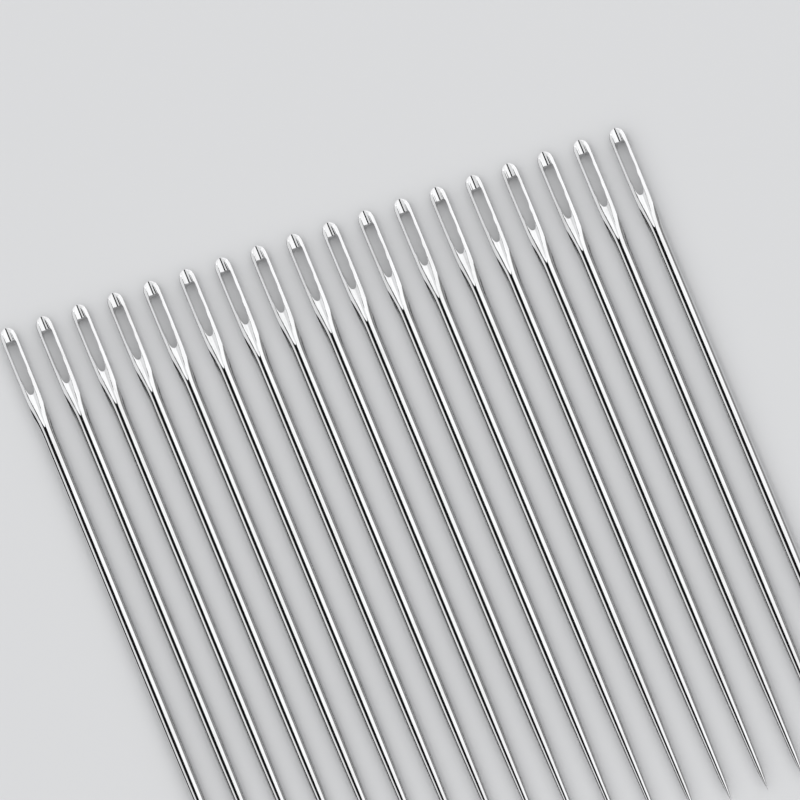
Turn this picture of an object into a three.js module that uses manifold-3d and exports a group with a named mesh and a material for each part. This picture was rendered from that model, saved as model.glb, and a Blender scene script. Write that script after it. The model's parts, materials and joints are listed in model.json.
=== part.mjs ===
// A row of upholstery needles: loose straight hand needles of polished steel, laid side by side.
// Each needle is one piece of wire, drawn round, pressed at the head, pierced with a long eye,
// guttered on both faces and ground to a round point. Millimetres, +Z up. The needles lie along Y
// with their heads at +Y, the row runs along X, and the surface that they lie on is the plane
// z = 0, with the origin under the middle of the row.

import * as THREE from "three";
import { mergeVertices } from "three/addons/utils/BufferGeometryUtils.js";
import Module from "manifold-3d";

const wasm = await Module();
wasm.setup();

// The wire and the whole needle
const needleLength = 76; // 3 inches, head to point
const shankDiameter = 1.6; // 16 gauge wire

// The head: its two faces are pressed flatter than the wire, and its sides are trimmed upright
const headWidth = 1.8; // across the row
const crownLength = 1.1; // the rounded end, half an oval in plan
const crownFall = 0.29; // how far each face falls away to the end of the crown
const headThickness = 1.3; // between the middles of its two faces
const faceRadius = 1.8; // how round the pressed faces still are
const pressLength = 5.25; // from the untouched wire to the eye's foot, where they are fully pressed
const swellAbove = 2.6; // the sides have their full width this far above the eye's foot

// The eye, a long slot with a blunt end at the head and a narrowing one at the shank
const bridgeLength = 1.6; // metal between the eye and the end of the head
const eyeLength = 6.5;
const eyeWidth = 1.2;
const eyeCornerAcross = 0.2;
const eyeCornerAlong = 0.45;
const eyeNarrowing = 3.4; // length over which the eye narrows to its foot
const eyeBluntness = 0.28; // 0.5 makes the narrowing end an oval, less makes it blunter

// The gutters that lead the thread into the eye, one on each face. Below the eye a gutter is round
// and runs out on the wire. Over the bridge it is a soft vee and runs out on the crown.
const gutterRadius = 1.0; // at the eye's foot
const gutterFootDepth = 0.19; // at the eye's foot
const gutterLength = 4.1; // from the eye's foot to the tip on the wire
const veeDepth = 0.29;
const veeSlope = 0.8; // rise for each step across, on the vee's flanks
const veeRound = 0.25; // how far from the middle the flanks start

// The ground end
const taperLength = 24; // gentle taper of the wire
const pointLength = 4; // the short point after it
const pointBaseDiameter = 0.8;

// The row
const needleCount = 18;
const needleGap = 2.25; // clear space between neighbouring heads
const stagger = 0.5; // each needle lies this much nearer its point's end than its left neighbour

// How finely round stretches are cut
const sides = 16; // round the wire, with one flat lying on the surface
const crownSteps = 5;
const pressSteps = 5;
const swellSteps = 2;
const taperSteps = 3;
const pointSteps = 3;
const gutterSides = 20;
const veeSteps = 4; // on each side of the middle
const cornerSteps = 2;
const footSteps = 6; // on each side of the eye
const footSpacing = 2.5; // more than 1 gathers the steps towards the foot

// Places along the needle, from its middle
const headEnd = needleLength / 2;
const shoulder = headEnd - crownLength; // where the crown meets the sides
const eyeTop = headEnd - bridgeLength;
const eyeMiddle = eyeTop - eyeLength / 2;
const eyeFoot = eyeTop - eyeLength;
const pressStart = eyeFoot - pressLength;
const swellEnd = eyeFoot + swellAbove;
const gutterTip = eyeFoot - gutterLength;
const pointEnd = -needleLength / 2;
const pointStart = pointEnd + pointLength;
const taperStart = pointStart + taperLength;

const { clamp, lerp, smoothstep } = THREE.MathUtils;
const quarterWave = (t) => Math.sin((t * Math.PI) / 2);
const share = (value, from, to) => (value - from) / (to - from);
const crownShare = (y) => clamp(share(y, shoulder, headEnd), 0, 1);
const between = (from, to, count) =>
  Array.from({ length: count }, (_, i) => lerp(from, to, (i + 1) / count));

// Half the width of the head or the wire at a place along it
function halfWidth(y) {
  if (y < pointStart) {
    return (pointBaseDiameter / 2) * quarterWave(share(y, pointEnd, pointStart));
  }
  if (y < taperStart) {
    return lerp(pointBaseDiameter, shankDiameter, quarterWave(share(y, pointStart, taperStart))) / 2;
  }
  const full = lerp(shankDiameter, headWidth, smoothstep(y, pressStart, swellEnd)) / 2;
  return full * Math.sqrt(1 - crownShare(y) ** 2);
}

// How far the middle of the face is from the axis
function faceHeight(y) {
  const pressed = smoothstep(y, pressStart, eyeFoot);
  const full = lerp(shankDiameter, headThickness, pressed) / 2;
  return y < pressStart ? halfWidth(y) : full - crownFall * crownShare(y) ** 2;
}

// How round the face is across: as the wire is, and flatter where it is pressed
function faceArc(y) {
  const pressed = smoothstep(y, pressStart, eyeFoot);
  return y < pressStart ? halfWidth(y) : 1 / lerp(2 / shankDiameter, 1 / faceRadius, pressed);
}

// How far the section reaches in a direction: to the arc of its face or to its upright side
function reach(y, across, up) {
  const cornerShare = 1 / Math.cos(Math.PI / sides); // corner radius over flat radius
  const arc = faceArc(y);
  const sunk = arc - faceHeight(y); // the arc's centre lies this far beyond the axis
  const face = Math.sqrt(arc * arc - (sunk * across) ** 2) - sunk * Math.abs(up);
  return Math.min(face * cornerShare, halfWidth(y) / Math.abs(across));
}

// The wire before the eye and the gutters are cut, as rings that are pushed out to the section
function blank() {
  const places = [
    ...between(pointEnd, pointStart, pointSteps),
    ...between(pointStart, taperStart, taperSteps),
    pressStart,
    ...between(pressStart, eyeFoot, pressSteps),
    ...between(eyeFoot, swellEnd, swellSteps),
    shoulder,
  ];
  const crown = between(0, 1, crownSteps).slice(0, -1);
  const crownPlaces = crown.map((t) => lerp(shoulder, headEnd, quarterWave(t)));
  const rings = [...places, ...crownPlaces].map((y) => new THREE.Vector2(1, y));
  const outline = [new THREE.Vector2(0, pointEnd), ...rings, new THREE.Vector2(0, headEnd)];
  const form = new THREE.LatheGeometry(outline, sides, Math.PI / sides);
  const place = form.attributes.position;
  for (let i = 0; i < place.count; i++) {
    const x = place.getX(i);
    const z = place.getZ(i);
    const size = Math.hypot(x, z);
    if (size > 0) {
      const push = reach(place.getY(i), x / size, z / size);
      place.setX(i, x * push);
      place.setZ(i, z * push);
    }
  }
  return form;
}

// One side of the eye, from its foot to where it has its full width
function eyeSide(side) {
  return between(0, 1, footSteps).map((t) => {
    const climbed = t ** footSpacing;
    const half = (eyeWidth / 2) * (1 - (1 - climbed) ** 2) ** eyeBluntness;
    return new THREE.Vector2(side * half, eyeFoot + eyeNarrowing * climbed);
  });
}

function eyeCutter() {
  const cornerX = eyeWidth / 2 - eyeCornerAcross;
  const cornerY = eyeTop - eyeCornerAlong;
  const { PI } = Math;
  const corner = [eyeCornerAcross, eyeCornerAlong];
  const right = new THREE.EllipseCurve(cornerX, cornerY, ...corner, 0, PI / 2);
  const left = new THREE.EllipseCurve(-cornerX, cornerY, ...corner, PI / 2, PI);
  const outline = [
    new THREE.Vector2(0, eyeFoot),
    ...eyeSide(1),
    ...right.getPoints(cornerSteps),
    ...left.getPoints(cornerSteps),
    ...eyeSide(-1).reverse(),
  ];
  const depth = 2 * shankDiameter;
  const slot = new THREE.ExtrudeGeometry(new THREE.Shape(outline), { depth, bevelEnabled: false });
  return slot.translate(0, 0, -depth / 2);
}

// Below the eye a gutter is what a slender cone, laid along the face of the head, would press
// into it: its floor is straight, from the face at the tip to its full depth at the eye's foot
function gutterCutter(face) {
  const axisHeight = faceHeight(eyeFoot) - gutterFootDepth + gutterRadius;
  const outline = [
    new THREE.Vector2(0, gutterTip),
    new THREE.Vector2(axisHeight - faceHeight(gutterTip), gutterTip),
    new THREE.Vector2(gutterRadius, eyeFoot),
    new THREE.Vector2(gutterRadius, eyeMiddle),
    new THREE.Vector2(0, eyeMiddle),
  ];
  const cone = new THREE.LatheGeometry(outline, gutterSides, Math.PI / gutterSides);
  return cone.translate(0, 0, face * axisHeight);
}

// The vee over the bridge starts inside the eye and goes on past the end of the head
function veeCutter(face) {
  const bottom = headThickness / 2 - veeDepth;
  const half = headWidth / 2;
  const flanks = [-half, ...between(-half, half, 2 * veeSteps)].map((x) => {
    return new THREE.Vector2(x, bottom + veeSlope * (Math.hypot(x, veeRound) - veeRound));
  });
  const above = [new THREE.Vector2(half, shankDiameter), new THREE.Vector2(-half, shankDiameter)];
  const section = new THREE.Shape([...flanks, ...above]);
  const depth = headEnd + crownLength - eyeMiddle;
  const vee = new THREE.ExtrudeGeometry(section, { depth, bevelEnabled: false });
  vee.rotateX(Math.PI / 2).translate(0, eyeMiddle + depth, 0);
  return face > 0 ? vee : vee.rotateY(Math.PI);
}

function solid(form) {
  form.deleteAttribute("normal");
  form.deleteAttribute("uv");
  const merged = mergeVertices(form, 1e-4);
  const vertProperties = merged.attributes.position.array;
  const triVerts = new Uint32Array(merged.index.array);
  return new wasm.Manifold(new wasm.Mesh({ numProp: 3, vertProperties, triVerts }));
}

function needleForm() {
  const gutters = [gutterCutter(1), gutterCutter(-1), veeCutter(1), veeCutter(-1)];
  const cutters = [eyeCutter(), ...gutters];
  const cut = cutters.reduce((metal, cutter) => metal.subtract(solid(cutter)), solid(blank()));
  const { vertProperties, triVerts } = cut.getMesh();
  const form = new THREE.BufferGeometry();
  form.setAttribute("position", new THREE.BufferAttribute(vertProperties, 3));
  form.setIndex(new THREE.BufferAttribute(triVerts, 1));
  form.computeVertexNormals();
  return form;
}

function polishedSteel() {
  return new THREE.MeshStandardMaterial({ color: 0xc8c9ca, roughness: 0.14, metalness: 1 });
}

function needleRow() {
  const row = new THREE.Group();
  const form = needleForm();
  const pitch = headWidth + needleGap;
  for (let i = 0; i < needleCount; i++) {
    const fromMiddle = i - (needleCount - 1) / 2;
    const needle = new THREE.Mesh(form, polishedSteel());
    needle.name = `needle_${String(i + 1).padStart(2, "0")}`;
    needle.position.set(fromMiddle * pitch, -fromMiddle * stagger, shankDiameter / 2);
    row.add(needle);
  }
  return row;
}

export default needleRow();
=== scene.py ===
# %% [markdown]
# # A row of upholstery needles
#
# Eighteen straight hand needles of polished steel lie side by side, each a little nearer to the
# reader than its left neighbour. Every one is a single piece of wire: drawn round, pressed flat at
# the head, pierced with a long eye, guttered on both faces and ground to a round point.
#
# A needle is nearly all reflection. So the lesson has two halves: a small studio, whose lamps and
# dark cards give the steel something to show, and a mesh whose surface bends as the steel does.
#
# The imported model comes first, because every needle takes its place from it.

# %% Load the frame
import json
import math
import random

import bmesh
import bpy
import numpy as np
from mathutils import Matrix, Vector


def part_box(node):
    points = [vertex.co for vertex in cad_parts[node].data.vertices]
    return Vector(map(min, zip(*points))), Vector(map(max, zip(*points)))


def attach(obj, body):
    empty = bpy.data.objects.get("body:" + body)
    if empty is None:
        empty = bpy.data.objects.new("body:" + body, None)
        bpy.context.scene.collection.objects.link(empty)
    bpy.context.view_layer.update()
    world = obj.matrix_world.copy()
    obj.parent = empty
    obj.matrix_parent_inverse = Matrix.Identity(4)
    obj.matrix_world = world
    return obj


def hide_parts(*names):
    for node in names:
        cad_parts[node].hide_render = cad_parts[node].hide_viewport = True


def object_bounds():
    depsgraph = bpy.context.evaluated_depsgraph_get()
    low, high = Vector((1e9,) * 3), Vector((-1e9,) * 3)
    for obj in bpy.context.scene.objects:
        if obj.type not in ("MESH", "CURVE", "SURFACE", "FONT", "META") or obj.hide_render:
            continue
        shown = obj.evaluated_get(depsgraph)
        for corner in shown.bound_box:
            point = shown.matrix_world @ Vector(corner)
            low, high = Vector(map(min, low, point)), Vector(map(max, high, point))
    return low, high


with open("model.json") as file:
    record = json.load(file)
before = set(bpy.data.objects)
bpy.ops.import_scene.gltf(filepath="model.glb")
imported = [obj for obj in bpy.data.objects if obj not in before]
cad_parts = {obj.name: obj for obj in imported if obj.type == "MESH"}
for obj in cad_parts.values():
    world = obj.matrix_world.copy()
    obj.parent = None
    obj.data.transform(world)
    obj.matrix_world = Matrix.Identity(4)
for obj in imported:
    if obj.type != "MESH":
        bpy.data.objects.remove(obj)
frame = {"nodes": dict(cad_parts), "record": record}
cad_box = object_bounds()
needle_nodes = sorted(frame["nodes"])
print(f"{len(needle_nodes)} needles in the frame, {needle_nodes[0]} to {needle_nodes[-1]}")

# %% [markdown]
# ## Sizes
#
# The three sizes that bound a needle are read from the frame: its length, the width of the pressed
# head and the thickness of the wire. The rest is the needle maker's own list, measured from the
# head. A place along a needle is its y, counted from the needle's middle, with the head at +Y.

# %% Sizes of one needle, in metres
MM = 0.001

needle_low, needle_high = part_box(needle_nodes[0])
NEEDLE_LENGTH = needle_high.y - needle_low.y
HEAD_WIDTH = needle_high.x - needle_low.x
SHANK_DIAMETER = needle_high.z - needle_low.z

HEAD_THICKNESS = 1.3 * MM
FACE_RADIUS = 1.8 * MM
PRESS_LENGTH = 5.25 * MM
SWELL_ABOVE = 2.6 * MM
CROWN_LENGTH = 1.1 * MM
CROWN_FALL = 0.29 * MM
BRIDGE_LENGTH = 1.6 * MM
EYE_LENGTH = 6.5 * MM
EYE_WIDTH = 1.2 * MM
EYE_CORNER_ACROSS = 0.2 * MM
EYE_CORNER_ALONG = 0.45 * MM
EYE_NARROWING = 3.4 * MM
GUTTER_RADIUS = 1.0 * MM
GUTTER_FOOT_DEPTH = 0.19 * MM
VEE_DEPTH = 0.29 * MM
GUTTER_LENGTH = 4.1 * MM
TAPER_LENGTH = 24 * MM
POINT_LENGTH = 4 * MM
POINT_BASE_DIAMETER = 0.8 * MM

HEAD_END = NEEDLE_LENGTH / 2
SHOULDER = HEAD_END - CROWN_LENGTH
EYE_TOP = HEAD_END - BRIDGE_LENGTH
EYE_FOOT = EYE_TOP - EYE_LENGTH
PRESS_START = EYE_FOOT - PRESS_LENGTH
SWELL_END = EYE_FOOT + SWELL_ABOVE
GUTTER_TIP = EYE_FOOT - GUTTER_LENGTH
POINT_END = -NEEDLE_LENGTH / 2
POINT_START = POINT_END + POINT_LENGTH
TAPER_START = POINT_START + TAPER_LENGTH
print(f"needle {NEEDLE_LENGTH / MM:.1f} mm long, head {HEAD_WIDTH / MM:.2f} mm wide")

# %% [markdown]
# ## Camera
#
# The camera looks down on the row from about 70 degrees, from the points' side and from a little
# to the right: that is why the walls of the eyes show at their heads and on their left. Parallel
# edges stay parallel across the picture, so the lens is very long and the camera far away. The
# lens isn't longer still, because a camera sees nothing beyond its clipping distance. The camera
# is rolled until the needles run down to the right, and then slid until the end of one head lies
# on its pixel.

# %% Camera
FRAME_PIXELS = 800
PIXELS_PER_MM = 9.36
HEAD_NODE = "needle_11"
HEAD_PIXEL = (363.6, 211.8)
VIEW_DIRECTION = Vector((0.12, -0.32, 0.94)).normalized()
ROLL = math.radians(22.54)
LENS_MM = 1500
SENSOR_MM = 36

along = Vector((0, 1, 0))
along = (along - along.dot(VIEW_DIRECTION) * VIEW_DIRECTION).normalized()
across = along.cross(VIEW_DIRECTION)
image_right = math.cos(ROLL) * across - math.sin(ROLL) * along
image_up = math.sin(ROLL) * across + math.cos(ROLL) * along

head_low, head_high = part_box(HEAD_NODE)
head_centre = (head_low + head_high) / 2
head_centre.y = head_high.y
metres_per_pixel = MM / PIXELS_PER_MM
slide_right = (HEAD_PIXEL[0] - FRAME_PIXELS / 2) * metres_per_pixel
slide_up = (FRAME_PIXELS / 2 - HEAD_PIXEL[1]) * metres_per_pixel
aim = head_centre - slide_right * image_right - slide_up * image_up
camera_distance = FRAME_PIXELS * metres_per_pixel * LENS_MM / SENSOR_MM

camera_data = bpy.data.cameras.new("camera")
camera_data.lens = LENS_MM
camera_data.sensor_width = SENSOR_MM
camera = bpy.data.objects.new("camera", camera_data)
bpy.context.scene.collection.objects.link(camera)
camera.matrix_world = Matrix.Translation(aim + camera_distance * VIEW_DIRECTION) @ (
    Matrix((image_right, image_up, VIEW_DIRECTION)).transposed().to_4x4()
)
bpy.context.scene.camera = camera
bpy.context.scene.view_settings.view_transform = "Standard"
print(f"camera {camera_distance:.3f} m from the row")

# %% [markdown]
# ## Shader sums
#
# Shader graphs are easier to read as sums than as boxes and wires. This class holds one output
# socket. A plus or times sign between two of them, or with a plain number on either side, adds a
# Math node, and `node` adds any other kind: first its settings, then the values or links of its
# inputs.


# %% Shader sums
class Signal:
    """One output socket of a shader graph, which can be used in sums."""

    def __init__(self, tree, socket=None):
        self.tree = tree
        self.socket = socket

    def node(self, kind, settings=None, inputs=None, output=0):
        made = self.tree.nodes.new(kind)
        for name, value in (settings or {}).items():
            setattr(made, name, value)
        for name, value in (inputs or {}).items():
            if isinstance(value, Signal):
                self.tree.links.new(value.socket, made.inputs[name])
            else:
                made.inputs[name].default_value = value
        return Signal(self.tree, made.outputs[output] if len(made.outputs) else None)

    def sum(self, operation, first, second):
        return self.node("ShaderNodeMath", {"operation": operation}, {0: first, 1: second})

    def __add__(self, other):
        return self.sum("ADD", self, other)

    def __radd__(self, other):
        return self.sum("ADD", other, self)

    def __mul__(self, other):
        return self.sum("MULTIPLY", self, other)

    def __rmul__(self, other):
        return self.sum("MULTIPLY", other, self)


def empty_tree(owner):
    owner.use_nodes = True
    owner.node_tree.nodes.clear()
    return Signal(owner.node_tree)


print("shader sums ready")

# %% [markdown]
# ## Floor and surroundings
#
# The needles lie on a plain pale surface, large enough to reach the horizon in a low view. The
# world is an even pale grey, which lights the row softly from all sides. It shines through the
# lamps as well, so the steel shows a lamp as bright as the lamp and the world together.

# %% Floor and world
FLOOR_SIZE = 12.0
FLOOR_DROP = 0.01 * MM
FLOOR_COLOUR = (0.58, 0.58, 0.585, 1)
FLOOR_ROUGHNESS = 0.7
WORLD_COLOUR = (0.97, 0.985, 1.0, 1)
WORLD_LEVEL = 0.66


def flat_card(name, width, length):
    """A rectangle in its own XY plane, round its own origin."""
    mesh = bpy.data.meshes.new(name)
    corners = [(-1, -1), (1, -1), (1, 1), (-1, 1)]
    points = [(x * width / 2, y * length / 2, 0) for x, y in corners]
    mesh.from_pydata(points, [], [(0, 1, 2, 3)])
    card = bpy.data.objects.new(name, mesh)
    bpy.context.scene.collection.objects.link(card)
    return card


def plain_material(name, colour, roughness):
    material = bpy.data.materials.new(name)
    graph = empty_tree(material)
    shader = graph.node(
        "ShaderNodeBsdfPrincipled", {}, {"Base Color": colour, "Roughness": roughness}
    )
    graph.node("ShaderNodeOutputMaterial", {}, {"Surface": shader})
    return material


floor = flat_card("floor", FLOOR_SIZE, FLOOR_SIZE)
floor.location.z = cad_box[0][2] - FLOOR_DROP
floor.data.materials.append(plain_material("pale_floor", FLOOR_COLOUR, FLOOR_ROUGHNESS))

world = bpy.data.worlds.new("soft_surroundings")
bpy.context.scene.world = world
graph = empty_tree(world)
background = graph.node(
    "ShaderNodeBackground", {}, {"Color": WORLD_COLOUR, "Strength": WORLD_LEVEL}
)
graph.node("ShaderNodeOutputWorld", {}, {"Surface": background})
print(f"floor {FLOOR_SIZE:.0f} m wide")

# %% [markdown]
# ## Lamps and cards
#
# Polished wire shows its surroundings as lines along its length, one line for each thing that
# stands beside it. What stands along the needles is given by the two angles from straight up,
# positive to the right, between which it stands. A card also has a place where it ends towards
# the heads. A lamp and a card that meet share the angle of their common edge.

# %% Places of the studio
LAMP_DISTANCE = 1.5
CARD_DISTANCE = 1.4
STUDIO_START = -2.4
STUDIO_END = 1.6
OVERHEAD_END = 0.69

LEFT_EDGE = -92
NARROW_LAMP_EDGE = -68
LAMPS_MEET = -16
BROAD_LAMP_EDGE = 57
RIGHT_EDGE = 92
OVERHEAD_EDGES = (-38, 6)


def stand_along_row(thing, low_angle, high_angle, end, distance):
    """Turns a lamp or card towards the row, at the middle of its two angles."""
    middle = math.radians((low_angle + high_angle) / 2)
    thing.rotation_euler = (0, middle, 0)
    thing.location.x = distance * math.sin(middle)
    thing.location.y = (STUDIO_START + end) / 2
    thing.location.z = distance * math.cos(middle)


def width_between(low_angle, high_angle, distance):
    return 2 * distance * math.tan(math.radians(high_angle - low_angle) / 2)


print(f"studio {STUDIO_END - STUDIO_START:.1f} m long")

# %% [markdown]
# A broad lamp up on the right gives the broad white line, and a narrow one on the left the thin
# line. One more lamp stands beyond the heads, for the crowns. A lamp's power is worked out from
# its radiance, which is how bright a mirror shows it.

# %% Lamps
BROAD_RADIANCE = 0.8
NARROW_RADIANCE = 0.42
BACK_RADIANCE = 0.7
BACK_LAMP_WIDTH = 3.0
BACK_LAMP_HEIGHT = 1.0
BACK_LAMP_DISTANCE = 2.0
BACK_LAMP_TILT = math.radians(-65)


def area_lamp(name, width, length, radiance):
    data = bpy.data.lights.new(name, "AREA")
    data.shape = "RECTANGLE"
    data.size = width
    data.size_y = length
    data.energy = radiance * math.pi * width * length
    lamp = bpy.data.objects.new(name, data)
    bpy.context.scene.collection.objects.link(lamp)
    lamp.visible_camera = False
    print(f"{name}: {width:.2f} x {length:.2f} m, {data.energy:.0f} W")
    return lamp


def long_lamp(name, low_angle, high_angle, radiance):
    width = width_between(low_angle, high_angle, LAMP_DISTANCE)
    lamp = area_lamp(name, width, STUDIO_END - STUDIO_START, radiance)
    stand_along_row(lamp, low_angle, high_angle, STUDIO_END, LAMP_DISTANCE)


long_lamp("broad_lamp", LAMPS_MEET, BROAD_LAMP_EDGE, BROAD_RADIANCE)
long_lamp("narrow_lamp", NARROW_LAMP_EDGE, LAMPS_MEET, NARROW_RADIANCE)

back_lamp = area_lamp("back_lamp", BACK_LAMP_WIDTH, BACK_LAMP_HEIGHT, BACK_RADIANCE)
back_lamp.rotation_euler.x = BACK_LAMP_TILT
back_lamp.location.y = -BACK_LAMP_DISTANCE * math.sin(BACK_LAMP_TILT)
back_lamp.location.z = BACK_LAMP_DISTANCE * math.cos(BACK_LAMP_TILT)

# %% [markdown]
# The black lines between the white ones are black cards, and a grey card on the right ends the
# broad one. The cards are studio equipment that only reflections see: they cast no shadow and
# take no light from the row, and each shines with just the level it is to show.
#
# The faces of the gutters lean towards the heads, so they look past the end of the overhead
# card, at the two lamps that stand behind it.

# %% Cards
BLACK_LEVEL = 0.01
GREY_LEVEL = 0.34


def glowing_material(name, level):
    material = bpy.data.materials.new(name)
    graph = empty_tree(material)
    glow = graph.node("ShaderNodeEmission", {}, {"Color": (level, level, level, 1)})
    graph.node("ShaderNodeOutputMaterial", {}, {"Surface": glow})
    return material


def long_card(name, low_angle, high_angle, end, level):
    card = flat_card(name, width_between(low_angle, high_angle, CARD_DISTANCE), end - STUDIO_START)
    stand_along_row(card, low_angle, high_angle, end, CARD_DISTANCE)
    card.data.materials.append(glowing_material(name, level))
    card.visible_camera = False
    card.visible_diffuse = False
    card.visible_transmission = False
    card.visible_shadow = False
    print(f"{name}: from {low_angle} to {high_angle} degrees, level {level}")


long_card("overhead_card", *OVERHEAD_EDGES, OVERHEAD_END, BLACK_LEVEL)
long_card("left_card", LEFT_EDGE, NARROW_LAMP_EDGE, STUDIO_END, BLACK_LEVEL)
long_card("right_card", BROAD_LAMP_EDGE, RIGHT_EDGE, STUDIO_END, GREY_LEVEL)

# %% [markdown]
# ## Polished steel
#
# The wire was ground and polished lengthwise, which leaves faint lines along it, some a little
# duller than others. Noise gives them: its grain is long where the needle is long and fine
# across it. A broader noise makes slow changes of gloss and tint, as handling does. Each needle
# takes its own slice of both, so no two are alike.

# %% Polished steel
GRAIN_STRETCH = 80
FINE_GRAIN = 9000
COARSE_GRAIN = 2500
HANDLING_SIZE = 260
FINE_DETAIL = 3
COARSE_DETAIL = 2
HANDLING_DETAIL = 4
NOISE_ROUGHNESS = 0.55
FINE_LEVELS = (0.35, 0.75)
COARSE_LEVELS = (0.4, 0.7)
HANDLING_LEVELS = (0.45, 0.75)
FINE_SHARE = 0.35
COARSE_SHARE = 0.25
HANDLING_SHARE = 0.4
SLICE_SPREAD = 50
STEEL = (0.7, 0.7, 0.705, 1)
DULL_STEEL = (0.56, 0.555, 0.55, 1)
POLISH = 0.035
GRAIN_DULLNESS = 0.06
HANDLING_DULLNESS = 0.03
SCRATCH_DEPTH = 0.0003 * MM


def noise(graph, place, own, scale, detail, levels):
    """Noise whose values between the two levels are spread over 0 to 1."""
    inputs = {"Vector": place, "W": own, "Scale": scale, "Detail": detail}
    inputs["Roughness"] = NOISE_ROUGHNESS
    value = graph.node("ShaderNodeTexNoise", {"noise_dimensions": "4D"}, inputs)
    low, high = levels
    stretch = {"Value": value, "From Min": low, "From Max": high}
    return graph.node("ShaderNodeMapRange", {"interpolation_type": "SMOOTHSTEP"}, stretch)


def polished_steel():
    material = bpy.data.materials.new("polished_steel")
    graph = empty_tree(material)
    place = graph.node("ShaderNodeTexCoord", output="Object")
    own = graph.node("ShaderNodeObjectInfo", output="Random") * SLICE_SPREAD
    lengthwise = graph.node(
        "ShaderNodeVectorMath",
        {"operation": "MULTIPLY"},
        {0: place, 1: (1, 1 / GRAIN_STRETCH, 1)},
    )
    fine = noise(graph, lengthwise, own, FINE_GRAIN, FINE_DETAIL, FINE_LEVELS)
    coarse = noise(graph, lengthwise, own, COARSE_GRAIN, COARSE_DETAIL, COARSE_LEVELS)
    handling = noise(graph, place, own, HANDLING_SIZE, HANDLING_DETAIL, HANDLING_LEVELS)
    dull = fine * FINE_SHARE + coarse * COARSE_SHARE + handling * HANDLING_SHARE
    colour = graph.node(
        "ShaderNodeMix",
        {"data_type": "RGBA"},
        {0: dull, 6: STEEL, 7: DULL_STEEL},
        output=2,
    )
    roughness = POLISH + fine * GRAIN_DULLNESS * coarse + handling * HANDLING_DULLNESS
    normal = graph.node(
        "ShaderNodeBump",
        {},
        {"Strength": 1.0, "Distance": SCRATCH_DEPTH, "Height": fine + coarse},
    )
    shader = graph.node(
        "ShaderNodeBsdfPrincipled",
        {},
        {"Base Color": colour, "Metallic": 1.0, "Roughness": roughness, "Normal": normal},
    )
    graph.node("ShaderNodeOutputMaterial", {}, {"Surface": shader})
    return material


steel = polished_steel()
print(f"{steel.name}: {len(steel.node_tree.nodes)} nodes")

# %% [markdown]
# ## The blank
#
# Before the eye and the gutters are cut, the needle is a blank. On the wire its section is a
# circle. On the head the press has made the two faces flatter, an arc of a larger circle each, and
# the sides have been trimmed upright. From the wire to the head one section changes smoothly into
# the other. The crown is trimmed to half an oval, and its faces fall away towards the end.


# %% The blank's sizes along it
def lerp(first, last, share):
    return first + (last - first) * share


def share_of(value, start, end):
    return min(max((value - start) / (end - start), 0.0), 1.0)


def smooth_share(value, start, end):
    share = share_of(value, start, end)
    return share * share * (3 - 2 * share)


def quarter_wave(share):
    return math.sin(share * math.pi / 2)


def half_width(y):
    if y < POINT_START:
        return POINT_BASE_DIAMETER / 2 * quarter_wave(share_of(y, POINT_END, POINT_START))
    if y < TAPER_START:
        grown = quarter_wave(share_of(y, POINT_START, TAPER_START))
        return lerp(POINT_BASE_DIAMETER, SHANK_DIAMETER, grown) / 2
    full = lerp(SHANK_DIAMETER, HEAD_WIDTH, smooth_share(y, PRESS_START, SWELL_END)) / 2
    return full * math.sqrt(1 - share_of(y, SHOULDER, HEAD_END) ** 2)


def pressed(y):
    return smooth_share(y, PRESS_START, EYE_FOOT)


def face_height(y):
    """How far the middle of a face is from the axis."""
    if y < PRESS_START:
        return half_width(y)
    full = lerp(SHANK_DIAMETER, HEAD_THICKNESS, pressed(y)) / 2
    return full - CROWN_FALL * share_of(y, SHOULDER, HEAD_END) ** 2


def face_arc(y):
    """Radius of a face across the needle."""
    if y < PRESS_START:
        return half_width(y)
    return 1 / lerp(2 / SHANK_DIAMETER, 1 / FACE_RADIUS, pressed(y))


width_on_wire = 2 * half_width(PRESS_START) / MM
width_on_head = 2 * half_width(EYE_TOP) / MM
print(f"{width_on_wire:.2f} mm wide on the wire, {width_on_head:.2f} mm on the head")

# %% [markdown]
# A point of the section is found by going out from the axis at an angle from straight up, to the
# arc of the face or to the upright side, whichever comes first. `soft_least` is a minimum whose
# corner is rounded, as tumbling in a barrel of soap and grit rounds every corner of a needle.

# %% The blank's section
EDGE_ROUND = 0.03 * MM
CROWN_EDGE_ROUND = 0.05 * MM
NEARLY_UPRIGHT = 0.001


def soft_least(first, second, rounding):
    if rounding <= 0:
        return min(first, second)
    overlap = max(rounding - abs(first - second), 0.0) / rounding
    return min(first, second) - overlap * overlap * rounding / 4


def edge_round(y):
    round_here = lerp(EDGE_ROUND, CROWN_EDGE_ROUND, share_of(y, SHOULDER, HEAD_END))
    return min(round_here, half_width(y)) * math.sqrt(pressed(y))


def blank_point(angle, y):
    """Place across the needle, and height, of the blank's surface at an angle from straight up."""
    across = math.sin(angle)
    up = math.cos(angle)
    arc = face_arc(y)
    sunk = arc - face_height(y)
    face = math.sqrt(arc**2 - (sunk * across) ** 2) - sunk * up
    side = half_width(y) / max(across, NEARLY_UPRIGHT)
    reach = soft_least(face, side, edge_round(y))
    return reach * across, reach * up


def blank_height(x, y):
    """Height of a face at x."""
    arc = face_arc(y)
    return face_height(y) - arc + math.sqrt(max(arc**2 - x**2, 0.0))


print(f"side of the head {2 * blank_height(HEAD_WIDTH / 2, EYE_TOP) / MM:.2f} mm high")

# %% [markdown]
# ## The gutters
#
# On each face a gutter leads the thread into the eye. Below the eye it is what a slender spindle,
# laid along the face, would press into it: it has a straight floor, and runs out in a long spear
# on the wire. Over the bridge it is a soft vee, which runs out on the crown. The surface is the
# lower of blank and gutter, and the ridge where they meet is slightly rounded.

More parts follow.
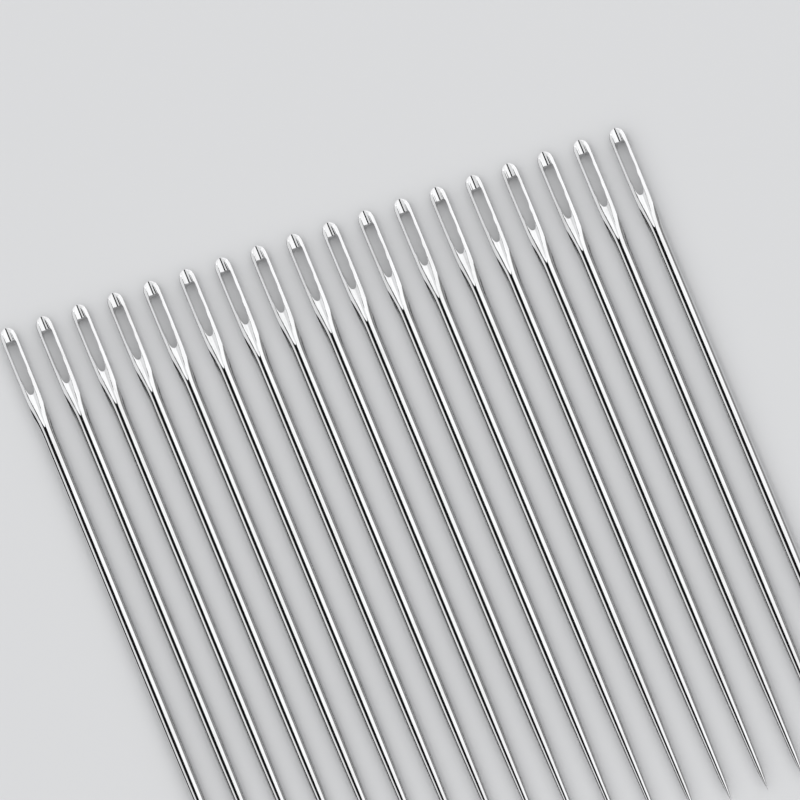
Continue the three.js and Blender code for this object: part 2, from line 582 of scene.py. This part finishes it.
# %% The gutters and their ridges
RIDGE_ROUND = 0.03 * MM
VEE_SLOPE = 0.8
VEE_ROUND = 0.25 * MM
HALVINGS = 30
TIP_FLOOR = face_height(GUTTER_TIP)
FOOT_FLOOR = HEAD_THICKNESS / 2 - GUTTER_FOOT_DEPTH
TOP_FLOOR = HEAD_THICKNESS / 2 - VEE_DEPTH
GUTTER_AXIS = FOOT_FLOOR + GUTTER_RADIUS


def gutter_floor(y):
    if y < EYE_FOOT:
        return lerp(TIP_FLOOR, FOOT_FLOOR, (y - GUTTER_TIP) / GUTTER_LENGTH)
    return lerp(FOOT_FLOOR, TOP_FLOOR, smooth_share(y, EYE_FOOT, EYE_TOP))


def gutter_height(x, y):
    lowest = gutter_floor(y)
    radius = GUTTER_AXIS - lowest
    spindle = GUTTER_AXIS - math.sqrt(max(radius**2 - x**2, 0.0))
    vee = lowest + VEE_SLOPE * (math.hypot(x, VEE_ROUND) - VEE_ROUND)
    return lerp(spindle, vee, smooth_share(y, EYE_FOOT, EYE_TOP))


def skin_height(blank, x, y):
    """Height of the surface: the lower of the blank, whose height is given, and the gutter."""
    depth = face_height(y) - gutter_floor(y)
    if depth <= 0:
        return blank
    return soft_least(blank, gutter_height(x, y), min(RIDGE_ROUND, depth / 2))


def ridge_x(y):
    """How far the ridge is from the needle's middle line, by halving."""
    inside = 0.0
    outside = half_width(y)
    for _ in range(HALVINGS):
        middle = (inside + outside) / 2
        if gutter_height(middle, y) < blank_height(middle, y):
            inside = middle
        else:
            outside = middle
    return inside


foot_width = 2 * ridge_x(EYE_FOOT) / MM
bridge_width = 2 * ridge_x(SHOULDER) / MM
print(f"gutter {foot_width:.2f} mm wide at the eye's foot, {bridge_width:.2f} mm on the bridge")

# %% [markdown]
# ## Columns and rows
#
# The skin is one grid, laid over the needle like a stocking: rows run round it and columns run
# along it. To keep the edges crisp without a dense mesh, certain columns follow them: one the
# ridge over the bridge, one the edge of the eye, one the ridge of the spear, and one the edge
# between face and side. A column is counted from the middle of a face out to the needle's side,
# and its place is an angle from straight up, so that on plain wire the columns are spaced evenly.

# %% Columns
SIDE_COLUMN = 24
EDGE_COLUMN = 18
EYE_COLUMN = 8
BRIDGE_RIDGE_COLUMN = 5
SPEAR_RIDGE_COLUMN = 10
EYE_FLAT_COLUMN = 4
RIGHT_ANGLE = math.pi / 2
PLAIN_STEP = RIGHT_ANGLE / SIDE_COLUMN
EDGE_STEPS = {1: math.radians(1.5), 2: math.radians(3.5)}


def angle_at(x, y):
    return math.atan2(x, blank_height(x, y))


def spread(y, anchors):
    """An angle for each column of a quarter section, evenly spaced between the given ones."""
    edge = lerp(PLAIN_STEP * EDGE_COLUMN, angle_at(half_width(y), y), pressed(y))
    near_edge = {EDGE_COLUMN: edge}
    for steps, angle in EDGE_STEPS.items():
        away = lerp(PLAIN_STEP * steps, angle, pressed(y))
        near_edge[EDGE_COLUMN - steps] = edge - away
        near_edge[EDGE_COLUMN + steps] = edge + away
    placed = sorted({0: 0, **anchors, **near_edge, SIDE_COLUMN: RIGHT_ANGLE}.items())
    return np.interp(range(SIDE_COLUMN + 1), *zip(*placed))


def plain_columns(y):
    return spread(y, {})


print(f"{4 * SIDE_COLUMN} columns round the needle")

# %% [markdown]
# The eye is widest at its top and narrows towards its blunt foot, along a curve like an oval with
# fuller shoulders. `SPEAR_LEAST` and `BRIDGE_LEAST` keep the columns apart where a ridge runs out.

# %% Columns that follow the ridges and the eye
EYE_BLUNTNESS = 0.28
FOOT_BEND = 1.0 * MM
FOOT_SIDE = EYE_FOOT + FOOT_BEND
RAIL_STEP = 0.02 * MM
SPEAR_LEAST = math.radians(18)
BRIDGE_LEAST = math.radians(7)


def eye_half(y):
    """Half the width of the eye."""
    share = share_of(y, EYE_FOOT, EYE_FOOT + EYE_NARROWING)
    return EYE_WIDTH / 2 * (1 - (1 - share) ** 2) ** EYE_BLUNTNESS


def spear_columns(y):
    return spread(y, {SPEAR_RIDGE_COLUMN: max(angle_at(ridge_x(y), y), SPEAR_LEAST)})


def rail_anchors(y):
    edge = eye_half(max(y, FOOT_SIDE))
    ridge = max(ridge_x(y), edge + RAIL_STEP)
    return {EYE_COLUMN: angle_at(edge, y), SPEAR_RIDGE_COLUMN: angle_at(ridge, y)}


def rail_columns(y):
    return spread(y, rail_anchors(y))


def bridge_columns(y, rails):
    """Columns over the bridge, which still follow the rails where `rails` is true."""
    ridge = {BRIDGE_RIDGE_COLUMN: max(angle_at(ridge_x(y), y), BRIDGE_LEAST)}
    return spread(y, {**ridge, **rail_anchors(y)} if rails else ridge)


print(f"eye {2 * eye_half(FOOT_SIDE) / MM:.2f} mm wide {FOOT_BEND / MM:.1f} mm above its foot")

# %% [markdown]
# The rows bend where they meet the eye. At its foot a row follows the blunt end, and at its top
# the straight edge of the bridge with its two rounded corners. `reach` says how far each column
# of such a row runs past the row's place at the needle's sides, and `x` where it crosses. The
# next few rows straighten again, step by step.

# %% The ends of the eye
BLUNT_SPACING = 2.5


def foot_outline(column):
    above = FOOT_BEND * min(column / EYE_COLUMN, 1.0) ** BLUNT_SPACING
    return eye_half(EYE_FOOT + above), FOOT_BEND - above


def top_outline(column):
    flat = EYE_WIDTH / 2 - EYE_CORNER_ACROSS
    if column <= EYE_FLAT_COLUMN:
        return flat * column / EYE_FLAT_COLUMN, EYE_CORNER_ALONG
    angle = RIGHT_ANGLE * share_of(column, EYE_FLAT_COLUMN, EYE_COLUMN)
    return flat + EYE_CORNER_ACROSS * math.sin(angle), EYE_CORNER_ALONG * math.cos(angle)


FOOT_OUTLINE = [foot_outline(column) for column in range(SIDE_COLUMN + 1)]
TOP_OUTLINE = [top_outline(column) for column in range(SIDE_COLUMN + 1)]
TOP_SIDE = EYE_TOP - EYE_CORNER_ALONG
print(f"rails of the eye {(TOP_SIDE - FOOT_SIDE) / MM:.2f} mm long")

# %% [markdown]
# A row is its place at the sides of the needle, the angles of its columns, and how far it bends
# round the foot or the top of the eye, from 0 to 1. The rows are close together where the shape
# changes and far apart on the plain wire.

# %% Rows
POINT_ROWS = 9
POINT_GATHERING = 1.5
TAPER_ROWS = 12
WIRE_ROWS = 10
GATHER_LENGTH = 2.5 * MM
GATHER_ROWS = 7
SPEAR_STRAIGHT = 2.25 * MM
SPEAR_ROWS = 14
FOOT_ROWS = 14
EYE_ROWS = 40
TOP_ROWS = 7
BRIDGE_STRAIGHT = 0.12 * MM
BRIDGE_ROWS = 2
CROWN_ROWS = 20
CROWN_FADE = (0.66, 0.95)


class Row:
    def __init__(self, y, angles, foot=0.0, top=0.0):
        self.y = y
        self.angles = angles
        self.foot = foot
        self.top = top


def shares(count):
    return [(step + 1) / count for step in range(count)]


def wire_rows():
    places = [lerp(POINT_END, POINT_START, t**POINT_GATHERING) for t in shares(POINT_ROWS)]
    places += [lerp(POINT_START, TAPER_START, t) for t in shares(TAPER_ROWS)]
    gather = GUTTER_TIP - GATHER_LENGTH
    places += [lerp(TAPER_START, gather, t) for t in shares(WIRE_ROWS)]
    rows = [Row(y, plain_columns(y)) for y in places]
    for t in shares(GATHER_ROWS):
        y = lerp(gather, GUTTER_TIP, t)
        columns = lerp(plain_columns(y), spear_columns(GUTTER_TIP), smooth_share(t, 0, 1))
        rows.append(Row(y, columns))
    return rows


def spear_rows():
    bend_start = GUTTER_TIP + SPEAR_STRAIGHT
    straight = [lerp(GUTTER_TIP, bend_start, t) for t in shares(SPEAR_ROWS)]
    rows = [Row(y, spear_columns(y)) for y in straight]
    for t in shares(FOOT_ROWS):
        y = lerp(bend_start, FOOT_SIDE, t)
        rows.append(Row(y, lerp(spear_columns(y), rail_columns(y), t), foot=t))
    return rows


def eye_rows():
    places = [lerp(FOOT_SIDE, TOP_SIDE, t) for t in shares(EYE_ROWS)]
    rows = [Row(y, rail_columns(y)) for y in places]
    rows[-1].top = 1.0
    return rows


def bridge_rows():
    straight_start = SHOULDER - BRIDGE_STRAIGHT
    rows = []
    for t in shares(TOP_ROWS):
        y = lerp(TOP_SIDE, straight_start, t)
        columns = lerp(bridge_columns(y, True), bridge_columns(y, False), t)
        rows.append(Row(y, columns, top=1 - t))
    for t in shares(BRIDGE_ROWS):
        y = lerp(straight_start, SHOULDER, t)
        rows.append(Row(y, bridge_columns(y, False)))
    for t in shares(CROWN_ROWS)[:-1]:
        y = SHOULDER + CROWN_LENGTH * quarter_wave(t)
        columns = lerp(bridge_columns(y, False), plain_columns(y), smooth_share(t, *CROWN_FADE))
        rows.append(Row(y, columns))
    return rows


before_eye = wire_rows() + spear_rows()
rows = before_eye + eye_rows() + bridge_rows()
FOOT_ROW = len(before_eye) - 1
TOP_ROW = FOOT_ROW + EYE_ROWS
print(f"{len(rows)} rows, the eye between rows {FOOT_ROW} and {TOP_ROW}")

# %% [markdown]
# ## Marks of the punch
#
# The eye is punched, and the punch leaves a few low swellings on its walls. They are small, but
# they catch the light along the inner edges, and without them the eyes look drawn with a ruler.
# Each mark is a side, its distance below the eye's top, its length and its height.

# %% Punch marks
PUNCH_MARKS = [
    (1, 1.62 * MM, 0.45 * MM, 0.03 * MM),
    (1, 2.15 * MM, 0.7 * MM, 0.025 * MM),
    (1, 4.0 * MM, 0.5 * MM, 0.06 * MM),
    (1, 4.4 * MM, 0.45 * MM, 0.05 * MM),
    (-1, 4.6 * MM, 0.5 * MM, 0.035 * MM),
]


def punch_mark(side, y, sizes):
    """How far the wall stands into the eye at y, for one needle's sizes of the marks."""
    height = 0.0
    for (mark_side, below_top, length, rise), size in zip(PUNCH_MARKS, sizes):
        away = abs(y - (EYE_TOP - below_top)) / length
        if mark_side == side and away < 1:
            height += size * rise * math.cos(away * RIGHT_ANGLE) ** 2
    return height


print(f"{len(PUNCH_MARKS)} punch marks in each eye")

# %% [markdown]
# ## Knitting the skin
#
# Each grid point gets its x and y from its row and column, and its height from the skin. The
# lower face mirrors the upper one, and the two share the columns at the needle's sides. The faces
# of the grid inside the eye are left out, and its walls join the two openings.


# %% Points of the skin
def skin_point(row, column, sizes):
    step = abs(column)
    side = -1 if column < 0 else 1
    foot_x, foot_reach = FOOT_OUTLINE[step]
    top_x, top_reach = TOP_OUTLINE[step]
    y = row.y - row.foot * foot_reach + row.top * top_reach
    x, blank = blank_point(row.angles[step], y)
    if step <= EYE_COLUMN:
        x = lerp(lerp(x, foot_x, row.foot), top_x, row.top)
        if step == EYE_COLUMN:
            x -= punch_mark(side, y, sizes)
        blank = blank_height(x, y)
    return side * x, y, skin_height(blank, x, y)


def ring(row, sizes):
    """The points of one row, over the upper face from left to right and back below it."""
    columns = range(-SIDE_COLUMN, SIDE_COLUMN + 1)
    upper = [skin_point(row, column, sizes) for column in columns]
    lower = [(x, y, -z) for x, y, z in reversed(upper[1:-1])]
    return upper + lower


def index(row_number, column, below=False):
    """The number of a grid point, counting the point's tip as number 0."""
    place = column + SIDE_COLUMN
    if below and abs(column) < SIDE_COLUMN:
        place = 4 * SIDE_COLUMN - place
    return 1 + row_number * 4 * SIDE_COLUMN + place


print(f"{4 * SIDE_COLUMN * len(rows) + 2} points in the skin")


# %% Faces of the skin
def in_eye(row_number, place):
    """Whether the face above this grid point, and to its right, lies inside the eye."""
    if not FOOT_ROW <= row_number < TOP_ROW:
        return False
    upper = abs(place + 0.5 - SIDE_COLUMN) < EYE_COLUMN
    lower = abs(place + 0.5 - 3 * SIDE_COLUMN) < EYE_COLUMN
    return upper or lower


def skin_faces():
    around = 4 * SIDE_COLUMN
    crown = 1 + around * len(rows)
    faces = []
    for place in range(around):
        after = (place + 1) % around
        last = crown - around
        faces.append((0, 1 + after, 1 + place))
        faces.append((last + place, last + after, crown))
        for row_number in range(len(rows) - 1):
            if not in_eye(row_number, place):
                start = 1 + row_number * around
                above = start + around
                faces.append((start + place, start + after, above + after, above + place))
    return faces


def eye_loop():
    """Rows and columns round the opening, so that the opening lies on the left."""
    foot = [(FOOT_ROW, column) for column in range(-EYE_COLUMN, EYE_COLUMN)]
    right = [(row_number, EYE_COLUMN) for row_number in range(FOOT_ROW, TOP_ROW)]
    top = [(TOP_ROW, column) for column in range(EYE_COLUMN, -EYE_COLUMN, -1)]
    left = [(row_number, -EYE_COLUMN) for row_number in range(TOP_ROW, FOOT_ROW, -1)]
    return foot + right + top + left


print(f"{len(skin_faces())} faces in the skin, {len(eye_loop())} points round the eye")

# %% [markdown]
# The walls go straight through the metal, in a few steps. The rim of the eye is broken with a
# small round: a thread would fray on a sharp one, and it is what glints along the opening.

# %% One needle's mesh
WALL_STEPS = 4
RIM_ROUND = 0.03 * MM
RIM_SEGMENTS = 2


def eye_walls(points):
    """Adds the walls' points, and returns the faces and the edges of the two rims."""
    loop = eye_loop()
    stacks = []
    for row_number, column in loop:
        upper = index(row_number, column)
        lower = index(row_number, column, below=True)
        x, y, z = points[upper]
        between = []
        for t in shares(WALL_STEPS)[:-1]:
            between.append(len(points))
            points.append((x, y, z * (1 - 2 * t)))
        stacks.append([upper, *between, lower])
    faces = []
    rims = []
    for stack, after in zip(stacks, stacks[1:] + stacks[:1]):
        rims += [(stack[0], after[0]), (stack[-1], after[-1])]
        for step in range(WALL_STEPS):
            faces.append((stack[step], after[step], after[step + 1], stack[step + 1]))
    return faces, rims


def needle_mesh(name, sizes):
    points = [(0, POINT_END, 0)]
    for row in rows:
        points += ring(row, sizes)
    points.append((0, HEAD_END, 0))
    wall_faces, rims = eye_walls(points)
    mesh = bpy.data.meshes.new(name)
    mesh.from_pydata(points, [], skin_faces() + wall_faces)
    form = bmesh.new()
    form.from_mesh(mesh)
    unused = [vert for vert in form.verts if not vert.link_faces]
    form.verts.ensure_lookup_table()
    rim_edges = [form.edges.get((form.verts[a], form.verts[b])) for a, b in rims]
    bmesh.ops.bevel(
        form,
        geom=rim_edges,
        offset=RIM_ROUND,
        segments=RIM_SEGMENTS,
        profile=0.5,
        affect="EDGES",
        clamp_overlap=True,
    )
    bmesh.ops.delete(form, geom=unused, context="VERTS")
    form.to_mesh(mesh)
    form.free()
    mesh.shade_smooth()
    return mesh


trial = needle_mesh("trial", [1.0] * len(PUNCH_MARKS))
print(f"one needle: {len(trial.vertices)} points, {len(trial.polygons)} faces")
bpy.data.meshes.remove(trial)

# %% [markdown]
# ## Laying the row
#
# Each needle goes where its node lies in the frame, rides on that node's body and stands for it.
# Loose needles never lie quite alike: each is rolled a degree or so about its own length, and
# the marks in its eye are its own size.

# %% Lay the needles
LARGEST_ROLL = math.radians(1.2)
MARK_SIZES = (0.6, 1.3)
SEED = 5
bodies = frame["record"]["behaviour"]["bodies"]
body_of = {node: body for body, nodes in bodies.items() for node in nodes}
chance = random.Random(SEED)

for node in needle_nodes:
    low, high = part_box(node)
    sizes = [chance.uniform(*MARK_SIZES) for _ in PUNCH_MARKS]
    needle = bpy.data.objects.new(f"polished_{node}", needle_mesh(f"polished_{node}", sizes))
    bpy.context.scene.collection.objects.link(needle)
    needle.data.materials.append(steel)
    needle.location = (low + high) / 2
    needle.rotation_euler.y = chance.uniform(-LARGEST_ROLL, LARGEST_ROLL)
    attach(needle, body_of[node])
    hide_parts(node)

print(f"{len(needle_nodes)} needles of {len(needle.data.polygons)} faces each")
